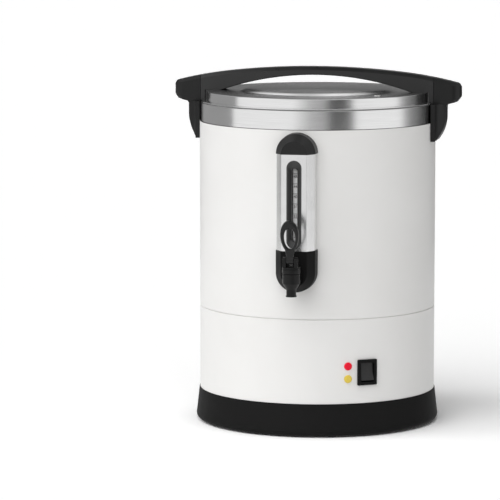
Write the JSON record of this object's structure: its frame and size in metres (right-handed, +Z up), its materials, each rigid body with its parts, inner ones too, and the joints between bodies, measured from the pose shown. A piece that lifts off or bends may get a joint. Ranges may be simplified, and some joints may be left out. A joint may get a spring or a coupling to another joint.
{
  "type": "coffee urn",
  "caption": "Heated drinks urn with a round white body, steel rim and lid, arched black handle, sight gauge and lever tap, rocker switch, pilot lamps and a percolator basket inside.",
  "frame": {"origin": "on the surface the urn stands on, on the axis of its round body", "axes": "+Z up, the tap points to -Y, the two side handles lie along X"},
  "size_m": [0.3246, 0.3245, 0.3975],
  "materials": {
    "white_paint": "satin white powder coat",
    "brushed_steel": "brushed stainless steel",
    "polished_steel": "polished folded steel",
    "basket_steel": "fine matt stainless steel",
    "hardware_steel": "plain zinc-plated steel",
    "black_plastic": "satin black moulding",
    "black_rubber": "matt rubber",
    "pale_silicone": "pale silicone",
    "clear_glass": "clear tube",
    "scale_white": "pale printed strip",
    "lamp_red": "red lens",
    "lamp_yellow": "yellow lens",
    "cast_aluminium": "cast heater plate",
    "heater_sheath": "dull metal sheath",
    "control_brown": "brown phenolic"
  },
  "bodies": {
    "body": {"base_ring": "black_plastic", "rubber_feet": "black_rubber", "bottom_plate": "hardware_steel", "base_screws": "hardware_steel", "tie_rod": "hardware_steel", "tie_nut": "hardware_steel", "lower_shell": "white_paint", "upper_shell": "white_paint", "tank": "brushed_steel", "rim_band": "brushed_steel", "heater_plate": "cast_aluminium", "heater_tube": "heater_sheath", "thermostat": "control_brown", "thermal_cutout": "control_brown", "switch_housing": "black_plastic", "lamp_red": "lamp_red", "lamp_yellow": "lamp_yellow", "lamp_nuts": "black_plastic", "power_inlet": "black_plastic", "inlet_screws": "hardware_steel", "side_handle_right": "black_plastic", "side_handle_left": "black_plastic", "handle_screws": "hardware_steel", "gauge_channel": "polished_steel", "gauge_top_cap": "black_plastic", "gauge_bottom_cap": "black_plastic", "gauge_frame": "black_plastic", "gauge_scale": "scale_white", "gauge_glass": "clear_glass", "gauge_seals": "pale_silicone", "tap_body": "black_plastic", "tap_gaskets": "pale_silicone", "tap_nut": "black_plastic", "tap_bonnet": "black_plastic", "lever_pin": "black_plastic", "tap_spring": "hardware_steel"},
    "rocker": {"rocker": "black_plastic"},
    "tap_lever": {"tap_lever": "black_plastic"},
    "tap_stem": {"tap_stem": "hardware_steel", "seat_cup": "pale_silicone"},
    "lid_seal": {"lid_seal": "black_rubber"},
    "lid": {"lid_shell": "brushed_steel", "lid_skirt": "brushed_steel", "lid_handle": "black_plastic", "lid_handle_screws": "hardware_steel", "lid_vent": "hardware_steel"},
    "percolator": {"pump_stem": "basket_steel", "pump_bell": "basket_steel"},
    "basket": {"basket": "basket_steel"},
    "basket_cover": {"basket_cover": "basket_steel"}
  },
  "joints": [
    {"name": "rocker_tip", "type": "hinge", "parent": "body", "child": "rocker", "pos_m": [0.07232, -0.10803, 0.0711], "axis": [0.831, 0.5563, 0], "range_deg": [0, 20]},
    {"name": "tap_lever_pull", "type": "hinge", "parent": "body", "child": "tap_lever", "pos_m": [0, -0.176, 0.201], "axis": [1, 0, 0], "range_deg": [0, 30], "stiffness_Nm_per_rad": 0.3, "springref_deg": -11.46},
    {"name": "tap_stem_lift", "type": "slide", "parent": "body", "child": "tap_stem", "axis": [0, 0, 1], "range_m": [0, 0.0036], "deforming": ["tap_spring"]},
    {"name": "lid_lift", "type": "slide", "parent": "body", "child": "lid_seal", "axis": [0, 0, 1], "range_m": [0, 0.4]},
    {"name": "lid_turn", "type": "hinge", "parent": "lid_seal", "child": "lid", "pos_m": [0, 0, 0.361], "axis": [0, 0, 1], "range_deg": [0, 35]},
    {"name": "percolator_lift", "type": "slide", "parent": "body", "child": "percolator", "axis": [0, 0, 1], "range_m": [0, 0.29]},
    {"name": "basket_lift", "type": "slide", "parent": "percolator", "child": "basket", "axis": [0, 0, 1], "range_m": [0, 0.04]},
    {"name": "basket_cover_lift", "type": "slide", "parent": "basket", "child": "basket_cover", "axis": [0, 0, 1], "range_m": [0, 0.032]}
  ],
  "couplings": [
    {"joint": "tap_stem_lift", "follows": "tap_lever_pull", "m_per_rad": 0.0066},
    {"joint": "percolator_lift", "follows": "lid_lift", "ratio": 0.725},
    {"joint": "basket_lift", "follows": "lid_lift", "ratio": 0.1},
    {"joint": "basket_cover_lift", "follows": "lid_lift", "ratio": 0.08}
  ]
}
